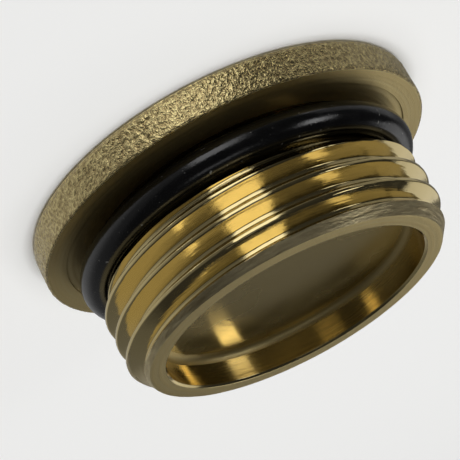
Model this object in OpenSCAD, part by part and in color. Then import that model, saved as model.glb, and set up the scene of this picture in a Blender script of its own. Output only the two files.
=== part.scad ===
// A round blanking plug for the end of a heating manifold: a brass body with a
// parallel pipe thread, and the rubber ring that seals behind its head.
// The plug stands on the outer face of its head, and its axis is Z.

/* [Head] */
// Diameter of the round head
head_d = 40; // [38:0.5:46]
// Thickness of the head
head_t = 3.3; // [2.6:0.1:5]
// Rounding of the rim at the outer face
rim_round = 0.5; // [0.2:0.1:0.8]
// Rounding of the rim at the underside
rim_edge = 0.2; // [0.1:0.05:0.4]

/* [Key socket] */
// Width across the flats of the hexagon socket
socket_af = 12; // [8:1:14]
// Depth of the hexagon socket
socket_depth = 8; // [5:0.5:9]
// Size of the bevel at the socket's mouth, at the middle of each flat
socket_bevel = 1; // [0.5:0.1:1.4]

/* [Ring groove] */
// Diameter of the turned seat in the head's underside
seat_d = 35.6; // [35:0.2:37]
// Depth of the turned seat
seat_depth = 0.15; // [0.1:0.05:0.4]
// Depth of the groove's floor under the thread's crests
groove_depth = 2.2245; // [1.8:0.0005:2.6]
// Width of the groove, from the turned seat to the thread's shoulder
groove_w = 4.3; // [4.2:0.1:6]
// Fillet between the groove's floor and the seat
groove_fillet = 0.3; // [0.1:0.1:0.6]

/* [Sealing ring] */
// Thickness of the rubber ring's round section
ring_section = 3; // [2.4:0.1:3.4]
// Place of the ring across the groove, where 0 is at the head and 1 at the thread
ring_place = 0.8; // [0:0.05:1]
// Gap left all round the ring in its groove
ring_gap = 0.02; // [0.01:0.01:0.1]

/* [Thread] */
// Outer diameter of the thread, here a one inch parallel pipe thread
thread_d = 33.249; // [32:0.001:34.5]
// Distance from one turn of the thread to the next
thread_pitch = 2.309; // [1.8:0.001:2.4]
// Angle between the two sides of the thread's groove
thread_angle = 55; // [50:1:60]
// Angle round the plug at which a crest of the thread leaves the shoulder
thread_phase = 47; // [0:1:359]
// Depth under the crests of the plain land at the shoulder, where the thread runs out
land_depth = 1.0245; // [0.4:0.0005:1.3]
// Length of the land, before its bevel rises at 45 degrees to the crests
land_l = 0.35; // [0.1:0.05:0.8]
// Length of the threaded stem, from the underside of the head to the mouth
stem_l = 12.75; // [11:0.25:20]
// Depth of the mouth's bevel under the crests, where it meets the flat end face
lead_depth = 1.4245; // [1.1:0.0005:2.4]
// Length of the bevel that leads in to the thread
lead_l = 1.95; // [1:0.05:3]

/* [Recess] */
// Thickness of the wall round the blind recess, from the crests to the recess
recess_wall = 3.2245; // [3.1:0.0005:6.6]
// Depth of the blind recess
recess_depth = 3.25; // [2:0.25:4]
// Fillet between the recess's wall and its floor
recess_fillet = 0.45; // [0.1:0.05:1]
// Bevel at the edge of the recess
recess_bevel = 0.2; // [0.1:0.05:0.5]

/* [Hidden] */
$fn = 96;
// Steps in each turn of the thread, in each of its sides and in each small fillet
turn_steps = 48;
side_steps = 3;
fillet_steps = 5;
// Overlap that makes each cut run clear of the face that it opens through
cut_clear = 0.5;
// Part of a turn by which the thread's rough ends run past the cuts that trim them
end_turns = 0.25;

head_r = head_d / 2;
seat_r = seat_d / 2;
thread_r = thread_d / 2;
groove_r = thread_r - groove_depth;
land_r = thread_r - land_depth;
end_r = thread_r - lead_depth;
recess_r = thread_r - recess_wall;
seat_z = head_t - seat_depth;
shoulder_z = seat_z + groove_w;
mouth_z = head_t + stem_l;
recess_z = mouth_z - recess_depth;

// The thread's section: a triangle of full height, cut flat by a sixth of it at
// the crest and rounded by a sixth at the root
half_angle = thread_angle / 2;
full_h = thread_pitch / (2 * tan(half_angle));
root_r = thread_r - full_h * 2 / 3;
root_round = full_h / 6 * sin(half_angle) / (1 - sin(half_angle));
crest_w = thread_pitch / 6;

// Points along an arc about a centre, from one angle to another
function arc(centre, radius, from, to, steps = fillet_steps) = [
    for (i = [0 : steps])
        let (a = from + (to - from) * i / steps)
            [centre[0] + radius * cos(a), centre[1] + radius * sin(a)]
];

// Points along one side of the thread, from its crest to just before its root
function side(crest, root) = [
    for (i = [0 : side_steps - 1]) crest + (root - crest) * i / side_steps
];

// Half of the head's section, with the ring's groove and a core that fills the thread
head_outline = concat(
    [[0, 0]],
    arc([head_r - rim_round, rim_round], rim_round, -90, 0),
    arc([head_r - rim_edge, head_t - rim_edge], rim_edge, 0, 90),
    [[seat_r, head_t], [seat_r, seat_z]],
    arc([groove_r + groove_fillet, seat_z + groove_fillet], groove_fillet, -90, -180),
    [[groove_r, shoulder_z + thread_pitch], [0, shoulder_z + thread_pitch]]
);

// Half of the recess's section, with the bevel at its edge and the fillet at its floor
recess_outline = concat(
    [
        [0, mouth_z + cut_clear],
        [recess_r + recess_bevel + cut_clear, mouth_z + cut_clear],
        [recess_r, mouth_z - recess_bevel]
    ],
    arc([recess_r - recess_fillet, recess_z + recess_fillet], recess_fillet, 0, -90),
    [[0, recess_z]]
);

// One pitch of the thread as [radius, height], from the start of a crest to the
// last point before the next one
root_arc = [
    for (p = arc([0, 0], root_round, half_angle - 90, 90 - half_angle))
        [root_r + root_round - p[0], thread_pitch / 2 + p[1]]
];
next_side = side([thread_r, thread_pitch - crest_w / 2], root_arc[fillet_steps]);
thread_section = concat(
    [[thread_r, -crest_w / 2]],
    side([thread_r, crest_w / 2], root_arc[0]),
    root_arc,
    [for (i = [side_steps - 1 : -1 : 1]) next_side[i]]
);

// The largest radius at a height, over the land and under the bevels at its end and
// at the mouth
function bevel_limit(z) = min(
    thread_r,
    land_r + max(0, z - shoulder_z - land_l),
    end_r + (thread_r - end_r) * (mouth_z - z) / lead_l
);

// The thread as a screw with rough ends, which run past the shoulder and the mouth
module thread_screw() {
    n = len(thread_section);
    start_z = shoulder_z - (1 + end_turns) * thread_pitch;
    steps = ceil(((mouth_z - start_z) / thread_pitch + end_turns) * turn_steps);
    // A point of the section after so many steps, kept under the land and the bevels
    function at(step, p) = let (
        turn = step / turn_steps,
        a = thread_phase + 360 * (turn - 1 - end_turns),
        z = start_z + thread_pitch * turn + p[1],
        r = min(p[0], bevel_limit(z))
    ) [r * cos(a), r * sin(a), z];
    // The number of a point, where the one after a section's last is a turn further on
    function id(step, j) =
        j == n ? id(step + turn_steps, 0)
        : step <= steps ? step * n + j
        : (steps + 1) * n + step - steps - 1;
    points = concat(
        [for (step = [0 : steps], p = thread_section) at(step, p)],
        [for (step = [steps + 1 : steps + turn_steps]) at(step, thread_section[0])],
        [[0, 0, start_z], [0, 0, start_z + thread_pitch * (steps / turn_steps + 1)]]
    );
    low = len(points) - 2;
    high = low + 1;
    faces = concat(
        [
            for (i = [0 : steps - 1], j = [0 : n - 1])
                for (f = [
                    [id(i, j), id(i, j + 1), id(i + 1, j + 1)],
                    [id(i, j), id(i + 1, j + 1), id(i + 1, j)]
                ]) f
        ],
        [for (i = [0 : turn_steps - 1]) [low, id(i, 0), id(i + 1, 0)]],
        [for (j = [0 : n - 1]) [low, id(0, j + 1), id(0, j)]],
        [for (i = [steps : steps + turn_steps - 1]) [high, id(i + 1, 0), id(i, 0)]],
        [for (j = [0 : n - 1]) [high, id(steps, j), id(steps, j + 1)]]
    );
    polyhedron(points, faces);
}

// The threaded part of the stem, cut square at the shoulder and at the mouth
module threaded_stem() {
    intersection() {
        thread_screw();
        translate([0, 0, shoulder_z])
            cylinder(h = mouth_z - shoulder_z, r = head_r);
    }
}

// The hexagon socket for the key, with a bevel round its mouth
module key_socket() {
    translate([0, 0, -cut_clear])
        cylinder(h = socket_depth + cut_clear, d = socket_af / cos(30), $fn = 6);
    translate([0, 0, -cut_clear])
        cylinder(
            h = socket_bevel + 2 * cut_clear,
            d1 = socket_af + 2 * (socket_bevel + cut_clear),
            d2 = socket_af - 2 * cut_clear
        );
}

// The plug itself, turned and threaded from one forged blank
module plug_body() {
    color([0.71, 0.60, 0.34])
        difference() {
            union() {
                rotate_extrude()
                    polygon(head_outline);
                threaded_stem();
            }
            rotate_extrude()
                polygon(recess_outline);
            key_socket();
        }
}

// The ring of black rubber, stretched over the thread into its groove
module o_ring() {
    ring_r = groove_r + ring_gap + ring_section / 2;
    side_play = groove_w - ring_section - 2 * ring_gap;
    ring_z = seat_z + ring_gap + ring_section / 2 + side_play * ring_place;
    color([0.08, 0.08, 0.09])
        translate([0, 0, ring_z])
            rotate_extrude()
                translate([ring_r, 0])
                    circle(d = ring_section);
}

plug_body();
o_ring();
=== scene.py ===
"""A brass blanking plug for a heating manifold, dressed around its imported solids."""

import math

import bmesh
import bpy
from bmesh.types import BMEdge, BMFace, BMVert
from mathutils import Matrix, Vector, noise


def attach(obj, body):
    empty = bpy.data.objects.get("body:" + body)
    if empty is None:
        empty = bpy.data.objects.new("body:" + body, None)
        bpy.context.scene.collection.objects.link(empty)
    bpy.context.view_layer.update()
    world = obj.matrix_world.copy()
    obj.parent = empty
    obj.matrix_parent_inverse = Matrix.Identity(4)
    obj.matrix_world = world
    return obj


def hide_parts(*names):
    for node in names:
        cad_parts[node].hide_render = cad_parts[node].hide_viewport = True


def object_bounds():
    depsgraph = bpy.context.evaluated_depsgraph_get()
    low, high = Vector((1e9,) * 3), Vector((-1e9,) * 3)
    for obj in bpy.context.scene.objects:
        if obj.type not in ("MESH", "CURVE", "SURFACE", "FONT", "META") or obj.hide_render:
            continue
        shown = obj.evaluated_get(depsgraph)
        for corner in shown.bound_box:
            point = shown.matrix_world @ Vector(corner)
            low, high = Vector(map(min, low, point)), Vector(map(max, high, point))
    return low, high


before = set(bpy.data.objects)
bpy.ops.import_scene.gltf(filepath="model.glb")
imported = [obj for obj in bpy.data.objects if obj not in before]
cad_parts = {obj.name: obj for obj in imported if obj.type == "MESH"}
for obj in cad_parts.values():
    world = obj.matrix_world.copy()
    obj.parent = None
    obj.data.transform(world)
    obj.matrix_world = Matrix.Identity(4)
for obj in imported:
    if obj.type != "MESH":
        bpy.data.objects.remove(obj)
cad_low, cad_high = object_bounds()


# The plug's threaded stem, turned from the same brass as its head. A tool cut the
# thread in several passes and left it bright, with fine lines along its sides, and
# the mouth is bevelled roughly so that the thread starts easily.

# Sizes are in millimetres, which MM turns into metres
MM = 0.001
STEPS_ROUND = 300

HEAD_THICK = 3.3
SEAT_DEPTH = 0.15
GROOVE_WIDE = 4.3
STEM_LONG = 12.75
SEAT_Z = HEAD_THICK - SEAT_DEPTH
SHOULDER_Z = SEAT_Z + GROOVE_WIDE
MOUTH_Z = HEAD_THICK + STEM_LONG

THREAD_RADIUS = 16.6245
THREAD_PITCH = 2.309
THREAD_PHASE = math.radians(47)
THREAD_FLAT = THREAD_PITCH / 6
CREST_SLOPE = math.tan(math.radians(23.5))
ROOT_SLOPE = math.tan(math.radians(31))
THREAD_DEPTH = (THREAD_PITCH - 2 * THREAD_FLAT) / (CREST_SLOPE + ROOT_SLOPE)
CREST_ROUND = 0.15
ROOT_ROUND = 0.1
SIDE_ROUND = 9
LAND_RADIUS = 15.6
LAND_LONG = 0.35
LAND_EDGE = 0.12
LAND_END_Z = SHOULDER_Z + LAND_LONG
RELIEF_END_Z = LAND_END_Z + THREAD_RADIUS - LAND_RADIUS
END_RADIUS = 15.2
LEAD_LONG = 1.95
LEAD_Z = MOUTH_Z - LEAD_LONG

# Small nicks along the crests, and torn marks that run round the mouth's bevel
NICK_SIZE = 0.5
NICK_DEPTH = 0.05
NICK_LEVEL = 0.2
TORN_LONG = 2.5
TORN_TALL = 0.35
TORN_DEPTH = 0.05
TORN_LEVEL = -0.1
# Falloff, spacing and count of the noise's octaves
TORN_OCTAVES = (1.0, 2.0, 2)

# Vertices this close together join, and a cut this close to a vertex goes through it
TURN_WELD = 0.008
CUT_SNAP = 0.004

# A point this close to the crests, or to the surface of the bevel, counts as on it
CREST_REACH = 0.02
BEVEL_REACH = 0.08

# The plug's finishes, in the order of its material slots
FINISHES = ["forged", "faced", "polished", "threaded", "bevelled", "recess_wall", "recess_floor"]


def outline(corners, longest, arc_steps=4):
    """Points along corners (radius, height, rounding), no further apart than longest."""
    path = []
    for i, (radius, height, rounding) in enumerate(corners):
        here = Vector((radius, height))
        if rounding == 0:
            path.append(here)
            continue
        back = (Vector(corners[i - 1][:2]) - here).normalized()
        on = (Vector(corners[i + 1][:2]) - here).normalized()
        half = back.angle(on) / 2
        centre = here + (back + on).normalized() * rounding / math.sin(half)
        start = here + back * rounding / math.tan(half) - centre
        end = here + on * rounding / math.tan(half) - centre
        for step in range(arc_steps + 1):
            path.append(centre + start.lerp(end, step / arc_steps).normalized() * rounding)
    points = path[:1]
    for a, b in zip(path, path[1:]):
        parts = max(1, math.ceil((b - a).length / longest))
        points += [a.lerp(b, part / parts) for part in range(1, parts + 1)]
    return points


def of_kind(parts, kind):
    """The vertices, edges or faces among the parts of a bmesh."""
    return [part for part in parts if isinstance(part, kind)]


def cut_across(mesh, height, clear=0):
    """Cuts across at a height, clears above (1) or below (-1) it, and returns the edges."""
    cut = bmesh.ops.bisect_plane(
        mesh,
        geom=mesh.verts[:] + mesh.edges[:] + mesh.faces[:],
        dist=CUT_SNAP * MM,
        plane_co=(0, 0, height * MM),
        plane_no=(0, 0, clear or 1),
        clear_outer=clear != 0,
    )
    for vert in of_kind(cut["geom_cut"], BMVert):
        vert.co.z = height * MM
    return of_kind(cut["geom_cut"], BMEdge)


def thread_limit(height):
    """The largest radius at a height, under the shoulder's relief and the mouth's bevel."""
    edge = LAND_RADIUS - LAND_EDGE + height - SHOULDER_Z
    relief = LAND_RADIUS + max(0, height - LAND_END_Z)
    lead = END_RADIUS + (THREAD_RADIUS - END_RADIUS) * (MOUTH_Z - height) / LEAD_LONG
    return min(THREAD_RADIUS, edge, relief, lead)


# The thread's sides are slightly hollow, so they are steeper at its crest
root_radius = THREAD_RADIUS - THREAD_DEPTH
side_radius = THREAD_RADIUS - THREAD_DEPTH / 2
side_out = THREAD_FLAT / 2 + THREAD_DEPTH / 2 * CREST_SLOPE
thread_outline = outline(
    [
        (THREAD_RADIUS, 0, 0),
        (THREAD_RADIUS, THREAD_FLAT / 2, CREST_ROUND),
        (side_radius, side_out, SIDE_ROUND),
        (root_radius, THREAD_PITCH / 2 - THREAD_FLAT / 2, ROOT_ROUND),
        (root_radius, THREAD_PITCH / 2 + THREAD_FLAT / 2, ROOT_ROUND),
        (side_radius, THREAD_PITCH - side_out, SIDE_ROUND),
        (THREAD_RADIUS, THREAD_PITCH - THREAD_FLAT / 2, CREST_ROUND),
        (THREAD_RADIUS, THREAD_PITCH, 0),
    ],
    longest=0.25,
    arc_steps=3,
)

# One turn is spun as a screw, and its copies run on from under the shoulder
plug = bmesh.new()
start_z = SHOULDER_Z - 2 * THREAD_PITCH
turns = math.ceil((MOUTH_Z - start_z) / THREAD_PITCH)
chain = [
    plug.verts.new((radius * MM, 0, (start_z + height) * MM))
    for radius, height in thread_outline
]
links = [plug.edges.new(pair) for pair in zip(chain, chain[1:])]
bmesh.ops.rotate(plug, verts=chain, matrix=Matrix.Rotation(THREAD_PHASE, 3, "Z"))
bmesh.ops.spin(
    plug,
    geom=chain + links,
    cent=(0, 0, 0),
    axis=(0, 0, 1),
    dvec=(0, 0, THREAD_PITCH / STEPS_ROUND * MM),
    angle=2 * math.pi,
    steps=STEPS_ROUND,
)
one_turn = plug.verts[:] + plug.edges[:] + plug.faces[:]
for turn in range(1, turns):
    copy = bmesh.ops.duplicate(plug, geom=one_turn)["geom"]
    rise = turn * THREAD_PITCH * MM
    bmesh.ops.translate(plug, verts=of_kind(copy, BMVert), vec=(0, 0, rise))
bmesh.ops.remove_doubles(plug, verts=plug.verts, dist=TURN_WELD * MM)

# Cuts put edges where the limit bends, and the thread is then brought under it
for height in (SHOULDER_Z + LAND_EDGE, LAND_END_Z, RELIEF_END_Z, LEAD_Z):
    cut_across(plug, height)
for vert in plug.verts:
    radius = vert.co.xy.length / MM
    height = vert.co.z / MM
    allowed = thread_limit(height)
    if radius > THREAD_RADIUS - CREST_REACH:
        nick = noise.noise(vert.co / (NICK_SIZE * MM))
        allowed -= NICK_DEPTH * max(0, nick - NICK_LEVEL)
    if radius > allowed and height > LEAD_Z:
        flat = vert.co.xy / TORN_LONG
        spot = Vector((*flat, vert.co.z / TORN_TALL)) / MM
        torn = noise.fractal(spot, *TORN_OCTAVES)
        allowed -= TORN_DEPTH * max(0, torn - TORN_LEVEL)
    vert.co.xy *= min(radius, allowed) / radius
shoulder_rim = cut_across(plug, SHOULDER_Z, -1)
mouth_rim = cut_across(plug, MOUTH_Z, 1)
for face in plug.faces:
    middle = face.calc_center_median()
    on_limit = middle.xy.length / MM > thread_limit(middle.z / MM) - BEVEL_REACH
    bevelled = on_limit and middle.z / MM > LEAD_Z
    face.material_index = FINISHES.index("bevelled" if bevelled else "threaded")


# The mouth: a flat end face, and a shallow blind recess that saves brass. Both were
# turned, which left the recess's wall bright and its floor with a soft sheen.

END_INSET = 0.15
RECESS_RADIUS = 13.4
RECESS_DEPTH = 3.25
RECESS_FILLET = 0.75
RECESS_BEVEL = 0.2
RECESS_EDGE = 0.08
RECESS_CENTRE = 0.4
RECESS_Z = MOUTH_Z - RECESS_DEPTH
HAIR = 0.001


def carry_on(mesh, rim, rings, finish):
    """Carries a rim on from ring to ring, each a (radius, height) or a function of the angle."""
    for ring in rings:
        made = bmesh.ops.extrude_edge_only(mesh, edges=rim)["geom"]
        rim = [edge for edge in of_kind(made, BMEdge) if edge.is_boundary]
        for vert in of_kind(made, BMVert):
            angle = math.atan2(vert.co.y, vert.co.x)
            radius, height = ring(angle) if callable(ring) else ring
            vert.co = (radius * MM * math.cos(angle), radius * MM * math.sin(angle), height * MM)
        for face in of_kind(made, BMFace):
            face.material_index = FINISHES.index(finish)
    return rim


recess_outline = outline(
    [
        (END_RADIUS - END_INSET, MOUTH_Z, 0),
        (RECESS_RADIUS + RECESS_BEVEL, MOUTH_Z, RECESS_EDGE),
        (RECESS_RADIUS, MOUTH_Z - RECESS_BEVEL, RECESS_EDGE),
        (RECESS_RADIUS, RECESS_Z, RECESS_FILLET),
        (RECESS_CENTRE, RECESS_Z, 0),
        (0, RECESS_Z, 0),
    ],
    longest=2.5,
)
wall_top = MOUTH_Z - HAIR
wall_foot = RECESS_Z + RECESS_FILLET - HAIR
floor_edge = RECESS_RADIUS - RECESS_FILLET - HAIR
end_face = [point for point in recess_outline if point.y > wall_top]
recess_wall = [point for point in recess_outline if wall_foot < point.y <= wall_top]
recess_foot = [point for point in recess_outline if point.y <= wall_foot and point.x > floor_edge]
recess_floor = [point for point in recess_outline if point.x <= floor_edge]
rim = carry_on(plug, mouth_rim, end_face, "faced")
rim = carry_on(plug, rim, recess_wall, "recess_wall")
rim = carry_on(plug, rim, recess_foot, "faced")
carry_on(plug, rim, recess_floor, "recess_floor")


# The head: a round brass disc, forged, with its rim left as it came. Its underside has a
# finely turned seat for the sealing ring, and a groove that keeps the ring in place.

HEAD_RADIUS = 20.0
RIM_EDGE = 0.2
RIM_ROUND = 0.5
FORGED_INSET = 0.24
OUTER_INSET = 0.8
UNDERSIDE_INSET = 0.25
SEAT_RADIUS = 17.8
SEAT_EDGE = 0.05
GROOVE_RADIUS = 14.4
GROOVE_EDGE = 0.12
GROOVE_FILLET = 0.3
GROOVE_END = 0.6
SHOULDER_INSET = 0.1

groove_outline = outline(
    [
        (root_radius - SHOULDER_INSET, SHOULDER_Z, 0),
        (GROOVE_RADIUS, SHOULDER_Z, GROOVE_EDGE),
        (GROOVE_RADIUS, SEAT_Z, GROOVE_FILLET),
        (GROOVE_RADIUS + GROOVE_END, SEAT_Z, 0),
    ],
    longest=2,
)
underside_outline = [
    (SEAT_RADIUS, SEAT_Z),
    (SEAT_RADIUS, HEAD_THICK - SEAT_EDGE),
    (SEAT_RADIUS + SEAT_EDGE, HEAD_THICK),
    (HEAD_RADIUS - UNDERSIDE_INSET, HEAD_THICK),
]
rim_outline = outline(
    [
        (HEAD_RADIUS - FORGED_INSET, HEAD_THICK, 0),
        (HEAD_RADIUS, HEAD_THICK, RIM_EDGE),
        (HEAD_RADIUS, 0, RIM_ROUND),
        (HEAD_RADIUS - OUTER_INSET, 0, 0),
    ],
    longest=0.33,
    arc_steps=2,
)
rim = carry_on(plug, shoulder_rim, groove_outline, "polished")
rim = carry_on(plug, rim, underside_outline, "faced")
rim = carry_on(plug, rim, rim_outline, "forged")


# The socket in the head's flat outer face: a blind hexagonal hole for the key that
# turns the plug, pressed into the brass, with a bevel turned round its mouth.

FACE_RING = 13.0
SOCKET_FLAT = 6.0
SOCKET_MOUTH = 7.0
SOCKET_DEPTH = 8.0
SOCKET_FILLET = 0.1
CENTRE_WELD = 0.002


def hexagon(angle):
    """Distance from the socket's axis to its wall at an angle."""
    return SOCKET_FLAT / math.cos(angle % (math.pi / 3) - math.pi / 6)


rim = carry_on(plug, rim, [(FACE_RING, 0), (SOCKET_MOUTH, 0)], "faced")
rim = carry_on(
    plug,
    rim,
    [
        lambda angle: (hexagon(angle), SOCKET_MOUTH - hexagon(angle)),
        lambda angle: (hexagon(angle), SOCKET_DEPTH - SOCKET_FILLET),
        lambda angle: (hexagon(angle) - SOCKET_FILLET, SOCKET_DEPTH),
    ],
    "faced",
)
carry_on(plug, rim, [(0, SOCKET_DEPTH)], "faced")
bmesh.ops.remove_doubles(plug, verts=plug.verts, dist=CENTRE_WELD * MM)
bmesh.ops.recalc_face_normals(plug, faces=plug.faces)


# The rim's skin, just as the brass left the forging die: grainy, slightly uneven, and
# with a few shallow scores that run from one face of the head towards the other.

SKIN_START_Z = 0.1
SKIN_DEPTH = 0.05
GRAIN_SIZE = 0.3
GRAIN_DEPTH = 0.045
GRAIN_OCTAVES = (0.9, 2.1, 2)
SWELL_SIZE = 2.5
SWELL_DEPTH = 0.03
SCORE_WIDE = 0.7
SCORE_LONG = 4
SCORE_DEPTH = 0.16
SCORE_LEVEL = 0.36


def faces_in(mesh, finish):
    """The mesh's faces of that finish."""
    slot = FINISHES.index(finish)
    return [face for face in mesh.faces if face.material_index == slot]


skin_edges = dict.fromkeys(edge for face in faces_in(plug, "forged") for edge in face.edges)
bmesh.ops.subdivide_edges(plug, edges=list(skin_edges), cuts=2, use_grid_fill=True)
plug.normal_update()
skin_verts = dict.fromkeys(vert for face in faces_in(plug, "forged") for vert in face.verts)
for vert in skin_verts:
    if vert.co.z / MM > SKIN_START_Z:
        grain = noise.fractal(vert.co / (GRAIN_SIZE * MM), *GRAIN_OCTAVES)
        swell = noise.noise(vert.co / (SWELL_SIZE * MM))
        flat = vert.co.xy / SCORE_WIDE
        score = noise.noise(Vector((*flat, vert.co.z / SCORE_LONG)) / MM)
        depth = SKIN_DEPTH + GRAIN_DEPTH * grain + SWELL_DEPTH * swell
        depth += SCORE_DEPTH * max(0, score - SCORE_LEVEL)
        vert.co -= vert.normal * max(0, depth) * vert.normal.xy.length * MM


# The plug's finishes, all of one brass, each as its tool left it: a sandy forged skin,
# faces with the fine rings of turning, a bright thread, groove and recess wall, a torn
# bevel, and a recess floor with a soft sheen.

BRASS = (0.85, 0.69, 0.335)
SKIN_DARK = (0.56, 0.43, 0.2)
SKIN_PALE = (1, 0.83, 0.4)
BEVEL_DARK = (0.76, 0.62, 0.34)
BEVEL_PALE = (1, 0.86, 0.52)
FLOOR_DARK = (0.58, 0.46, 0.2)
FLOOR_PALE = (0.78, 0.62, 0.28)
SHARP_ANGLE = math.radians(35)


def node(tree, kind, at, **values):
    """A new node of that kind, with its settings and its inputs by name."""
    made = tree.nodes.new(kind)
    made.location = at
    for name, value in values.items():
        if hasattr(made, name):
            setattr(made, name, value)
        else:
            made.inputs[name.replace("_", " ")].default_value = value
    return made


def finish_material(name, colour, roughness=0.5, metallic=1.0):
    """A plain material, with its tree, its shader and the object's coordinates."""
    material = bpy.data.materials.new(name)
    material.use_nodes = True
    tree = material.node_tree
    shader = tree.nodes["Principled BSDF"]
    shader.inputs["Base Color"].default_value = (*colour, 1)
    shader.inputs["Roughness"].default_value = roughness
    shader.inputs["Metallic"].default_value = metallic
    place = node(tree, "ShaderNodeTexCoord", (-1400, 0)).outputs["Object"]
    return material, tree, shader, place


def marks(tree, place, at, each_way, detail=2.0):
    """Noise over the object's coordinates, with so many marks a millimetre each way."""
    stretch = node(tree, "ShaderNodeMapping", at)
    stretch.inputs["Scale"].default_value = [count / MM for count in each_way]
    made = node(tree, "ShaderNodeTexNoise", (at[0] + 200, at[1]), Scale=1, Detail=detail)
    tree.links.new(place, stretch.inputs["Vector"])
    tree.links.new(stretch.outputs["Vector"], made.inputs["Vector"])
    return made.outputs["Fac"]


def turning(tree, place, at, count):
    """Noise by the distance from the axis, with so many rings a millimetre."""
    flat = node(tree, "ShaderNodeMapping", at)
    flat.inputs["Scale"].default_value = (1 / MM, 1 / MM, 0)
    radius = node(tree, "ShaderNodeVectorMath", (at[0] + 200, at[1]), operation="LENGTH")
    settings = {"noise_dimensions": "1D", "Scale": count, "Detail": 2.0}
    made = node(tree, "ShaderNodeTexNoise", (at[0] + 400, at[1]), **settings)
    tree.links.new(place, flat.inputs["Vector"])
    tree.links.new(flat.outputs["Vector"], radius.inputs[0])
    tree.links.new(radius.outputs["Value"], made.inputs["W"])
    return made.outputs["Fac"]


def spread(tree, value, at, low, high, start, end):
    """Spreads noise from low to high while it goes from start to end."""
    limits = {"From_Min": start, "From_Max": end, "To_Min": low, "To_Max": high}
    made = node(tree, "ShaderNodeMapRange", at, **limits)
    tree.links.new(value, made.inputs["Value"])
    return made.outputs["Result"]


def two_tone(tree, shader, value, colour, other, start=0.35, end=0.65):
    """Colours the shader from one colour to another by noise."""
    # The colours are this node's inputs 6 and 7, and its output 2
    made = node(tree, "ShaderNodeMix", (-250, 250), data_type="RGBA")
    made.inputs[6].default_value = (*colour, 1)
    made.inputs[7].default_value = (*other, 1)
    tree.links.new(spread(tree, value, (-700, 300), 0, 1, start, end), made.inputs[0])
    tree.links.new(made.outputs[2], shader.inputs["Base Color"])


def roughen(tree, shader, value, low, high, start=0.35, end=0.65):
    """Varies the shader's roughness by noise from low to high, about a plain middle."""
    shader.inputs["Roughness"].default_value = (low + high) / 2
    rough = spread(tree, value, (-700, 0), low, high, start, end)
    tree.links.new(rough, shader.inputs["Roughness"])


def raise_by(tree, shader, *heights):
    """Raises the shader's surface by each (height, millimetres) in turn."""
    normal = None
    for i, (height, distance) in enumerate(heights):
        made = node(tree, "ShaderNodeBump", (-500 + 200 * i, -300), Distance=distance * MM)
        tree.links.new(height, made.inputs["Height"])
        if normal:
            tree.links.new(normal, made.inputs["Normal"])
        normal = made.outputs["Normal"]
    tree.links.new(normal, shader.inputs["Normal"])


def piece(name, shape, materials):
    """A smooth piece in the scene, made from a bmesh, which it frees."""
    mesh = bpy.data.meshes.new(name)
    shape.to_mesh(mesh)
    shape.free()
    for material in materials:
        mesh.materials.append(material)
    mesh.shade_smooth()
    made = bpy.data.objects.new(name, mesh)
    bpy.context.scene.collection.objects.link(made)
    return made


brasses = {}

brasses["forged"], tree, shader, place = finish_material("forged_brass", BRASS)
pits = marks(tree, place, (-1200, -200), (3, 3, 3))
sand = marks(tree, place, (-1200, -500), (7, 7, 7))
two_tone(tree, shader, pits, SKIN_DARK, SKIN_PALE)
roughen(tree, shader, sand, 0.08, 0.26)
raise_by(tree, shader, (pits, 0.14), (sand, 0.05))

brasses["faced"], tree, shader, place = finish_material("faced_brass", BRASS)
lines = turning(tree, place, (-1200, -200), 3)
specks = marks(tree, place, (-1200, -500), (5, 5, 5))
roughen(tree, shader, lines, 0.42, 0.54)
raise_by(tree, shader, (lines, 0.02), (specks, 0.02))

brasses["polished"], tree, shader, place = finish_material("polished_brass", BRASS, 0.14)
lines = marks(tree, place, (-1200, -200), (0.5, 0.5, 6), 3)
raise_by(tree, shader, (lines, 0.01))

brasses["threaded"], tree, shader, place = finish_material("threaded_brass", BRASS)
lines = marks(tree, place, (-1200, -200), (0.06, 0.06, 9))
smears = marks(tree, place, (-1200, -500), (0.8, 0.8, 3), 3)
roughen(tree, shader, smears, 0.06, 0.16)
raise_by(tree, shader, (lines, 0.012), (smears, 0.012))

brasses["bevelled"], tree, shader, place = finish_material("bevelled_brass", BRASS)
torn = marks(tree, place, (-1200, -200), (0.5, 0.5, 4), 4)
specks = marks(tree, place, (-1200, -500), (3, 3, 6), 3)
two_tone(tree, shader, torn, BEVEL_PALE, BEVEL_DARK)
roughen(tree, shader, specks, 0.36, 0.5)
raise_by(tree, shader, (torn, 0.1), (specks, 0.04))

brasses["recess_wall"], tree, shader, place = finish_material("recess_wall_brass", BRASS)
clouds = marks(tree, place, (-1200, -200), (0.25, 0.25, 0.5), 4)
lines = marks(tree, place, (-1200, -500), (0.3, 0.3, 5), 3)
roughen(tree, shader, clouds, 0.08, 0.16)
raise_by(tree, shader, (lines, 0.008))

brasses["recess_floor"], tree, shader, place = finish_material("recess_floor_brass", BRASS)
clouds = marks(tree, place, (-1200, 300), (0.2, 0.2, 0.2), 1)
lines = turning(tree, place, (-1200, -200), 2)
two_tone(tree, shader, clouds, FLOOR_PALE, FLOOR_DARK, start=0.2, end=0.8)
roughen(tree, shader, clouds, 0.18, 0.32, start=0.2, end=0.8)
raise_by(tree, shader, (lines, 0.015))

plug_piece = piece("plug", plug, [brasses[finish] for finish in FINISHES])
plug_piece.data.set_sharp_from_angle(angle=SHARP_ANGLE)
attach(plug_piece, "root")
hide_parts("plug_body")


# The sealing ring: black rubber of round section, moulded, and stretched over the
# thread into its groove. A few specks of pale dust cling to it.

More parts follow.
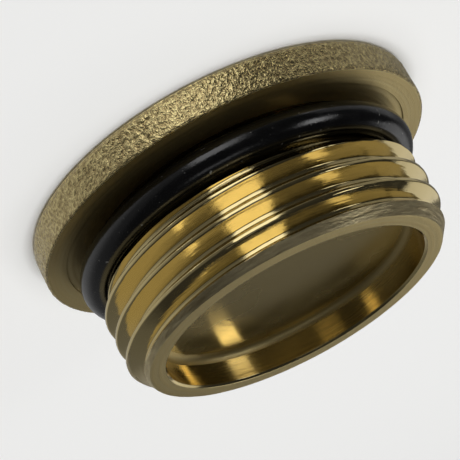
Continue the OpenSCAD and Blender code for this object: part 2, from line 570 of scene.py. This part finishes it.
RING_THICK = 3.0
RING_GAP = 0.02
RING_PLACE = 0.8
RING_STEPS = 288
RING_SIDES = 48
RUBBER = (0.0012, 0.0012, 0.0014)
DUST = (0.12, 0.12, 0.11)
ring_radius = GROOVE_RADIUS + RING_GAP + RING_THICK / 2
ring_play = GROOVE_WIDE - RING_THICK - 2 * RING_GAP
ring_z = SEAT_Z + RING_GAP + RING_THICK / 2 + ring_play * RING_PLACE

ring = bmesh.new()
section = bmesh.ops.create_circle(ring, segments=RING_SIDES, radius=RING_THICK / 2 * MM)["verts"]
bmesh.ops.rotate(ring, verts=section, matrix=Matrix.Rotation(math.pi / 2, 3, "X"))
bmesh.ops.translate(ring, verts=section, vec=(ring_radius * MM, 0, ring_z * MM))
bmesh.ops.spin(
    ring,
    geom=section + ring.edges[:],
    cent=(0, 0, 0),
    axis=(0, 0, 1),
    angle=2 * math.pi,
    steps=RING_STEPS,
    use_merge=True,
)
bmesh.ops.recalc_face_normals(ring, faces=ring.faces)

rubber, tree, shader, place = finish_material("black_rubber", RUBBER, metallic=0.0)
shader.inputs["Specular IOR Level"].default_value = 0.95
bloom = marks(tree, place, (-1200, -200), (0.5, 0.5, 0.5), 4)
grain = marks(tree, place, (-1200, -500), (5, 5, 5))
dust = marks(tree, place, (-1200, 400), (2.2, 2.2, 2.2), 1)
two_tone(tree, shader, dust, RUBBER, DUST, start=0.72, end=0.78)
roughen(tree, shader, bloom, 0.15, 0.26)
raise_by(tree, shader, (grain, 0.012))

ring_piece = piece("sealing_ring", ring, [rubber])
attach(ring_piece, "root")
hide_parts("o_ring")


# The floor, a plain pale board that takes the plug's shadow. Some of the panels stand
# below it, so it casts no shadow, and the brass mirrors the room in its place.

FLOOR_SIZE = 3000
FLOOR_GAP = 0.02
FLOOR_PAINT = (0.82, 0.82, 0.81)

board = bmesh.new()
bmesh.ops.create_grid(board, x_segments=1, y_segments=1, size=FLOOR_SIZE * MM)
bmesh.ops.translate(board, verts=board.verts, vec=(0, 0, cad_low.z - FLOOR_GAP * MM))
paint = finish_material("pale_floor", FLOOR_PAINT, roughness=0.9, metallic=0.0)[0]
floor = piece("floor", board, [paint])
floor.visible_glossy = False
floor.visible_shadow = False


# The studio: a dim room, palest low down behind the plug and darkest above its front,
# with a large soft lamp overhead, and panels that the polished brass mirrors.

MIDDLE = Vector((0, 0, 9))
DARK_SIDE = (-0.457, -0.457, 0.763)


def panel(name, centre, wide, tall, radiance, mirrored=True):
    """A soft lamp that faces the plug's middle, of a size in millimetres."""
    data = bpy.data.lights.new(name, "AREA")
    data.shape = "RECTANGLE"
    data.size = wide * MM
    data.size_y = tall * MM
    data.energy = radiance * math.pi * data.size * data.size_y
    lamp = bpy.data.objects.new(name, data)
    lamp.location = Vector(centre) * MM
    away = lamp.location - MIDDLE * MM
    lamp.rotation_mode = "QUATERNION"
    lamp.rotation_quaternion = away.to_track_quat("Z", "Y")
    lamp.visible_camera = False
    lamp.visible_glossy = mirrored
    bpy.context.scene.collection.objects.link(lamp)


def panel_towards(name, direction, away, wide, tall, radiance):
    """A soft lamp in that direction from the plug's middle, so many millimetres away."""
    panel(name, MIDDLE + Vector(direction).normalized() * away, wide, tall, radiance)


panel("ceiling", (0, 0, 700), 600, 600, 4.9, mirrored=False)
panel_towards("key", (-0.01, -0.868, -0.496), 300, 155, 238, 1.15)
panel_towards("left", (0.567, -0.446, -0.685), 300, 30, 80, 1.0)
panel_towards("right", (-0.73, -0.29, -0.615), 300, 60, 80, 0.8)
panel_towards("side_front", (-0.85, -0.37, 0.378), 400, 120, 150, 1.8)
panel_towards("above", (-0.2, 0.62, 0.76), 400, 150, 150, 1.4)
panel_towards("right_side", (-0.9, -0.08, -0.38), 300, 180, 120, 0.16)
panel_towards("right_back", (-0.85, 0.45, -0.35), 400, 180, 260, 0.2)
panel_towards("front_high", (0, -0.53, 0.85), 400, 200, 100, 0.4)
panel_towards("back", (-0.49, 0.79, 0.35), 400, 260, 160, 0.5)

# The walls' greys, each with the cosine of its direction's angle to the dark side
WALLS = [(-1, 0.36), (-0.7, 0.36), (-0.45, 0.2), (-0.35, 0.12), (0, 0.1), (0.2, 0.03), (1, 0.02)]

world = bpy.data.worlds.new("studio")
world.use_nodes = True
bpy.context.scene.world = world
sky = world.node_tree
direction = node(sky, "ShaderNodeTexCoord", (-1000, 0))
cosine = node(sky, "ShaderNodeVectorMath", (-800, 0), operation="DOT_PRODUCT")
cosine.inputs[1].default_value = DARK_SIDE
share = node(sky, "ShaderNodeMapRange", (-600, 0), From_Min=-1)
ramp = node(sky, "ShaderNodeValToRGB", (-400, 0))
greys = ramp.color_ramp.elements
while len(greys) < len(WALLS):
    greys.new(0.5)
for element, (value, grey) in zip(greys, WALLS):
    element.position = (value + 1) / 2
    element.color = (grey, grey, grey, 1)
sky.links.new(direction.outputs["Generated"], cosine.inputs[0])
sky.links.new(cosine.outputs["Value"], share.inputs["Value"])
sky.links.new(share.outputs["Result"], ramp.inputs["Fac"])
sky.links.new(ramp.outputs["Color"], sky.nodes["Background"].inputs["Color"])
bpy.context.scene.view_settings.view_transform = "Standard"


# The camera, at the photograph's angle: above the mouth's side, and rolled. The
# middle of the head's underside falls on one known pixel of the picture.

FOCAL_PIXELS = 1800
PICTURE = 460
SENSOR = 36
CAMERA_TILT = math.radians(67.76)
CAMERA_ROLL = math.radians(151.83)
CAMERA_AWAY = 172.26
AIM = Vector((0, 0, HEAD_THICK))
AIM_X = 238.25
AIM_Y = 199.16

towards = Vector((0, -math.sin(CAMERA_TILT), math.cos(CAMERA_TILT)))
across = Vector((1, 0, 0))
below = (-towards).cross(across)
right = across * math.cos(CAMERA_ROLL) - below * math.sin(CAMERA_ROLL)
down = across * math.sin(CAMERA_ROLL) + below * math.cos(CAMERA_ROLL)
shift_right = (AIM_X - PICTURE / 2) / FOCAL_PIXELS * CAMERA_AWAY
shift_down = (AIM_Y - PICTURE / 2) / FOCAL_PIXELS * CAMERA_AWAY
stand = AIM - right * shift_right - down * shift_down + towards * CAMERA_AWAY

lens = bpy.data.cameras.new("camera")
lens.sensor_width = SENSOR
lens.lens = SENSOR * FOCAL_PIXELS / PICTURE
lens.clip_start = 0.01
lens.clip_end = 20
camera = bpy.data.objects.new("camera", lens)
facing = Matrix((right, -down, towards)).transposed().to_4x4()
camera.matrix_world = Matrix.Translation(stand * MM) @ facing
bpy.context.scene.collection.objects.link(camera)
bpy.context.scene.camera = camera
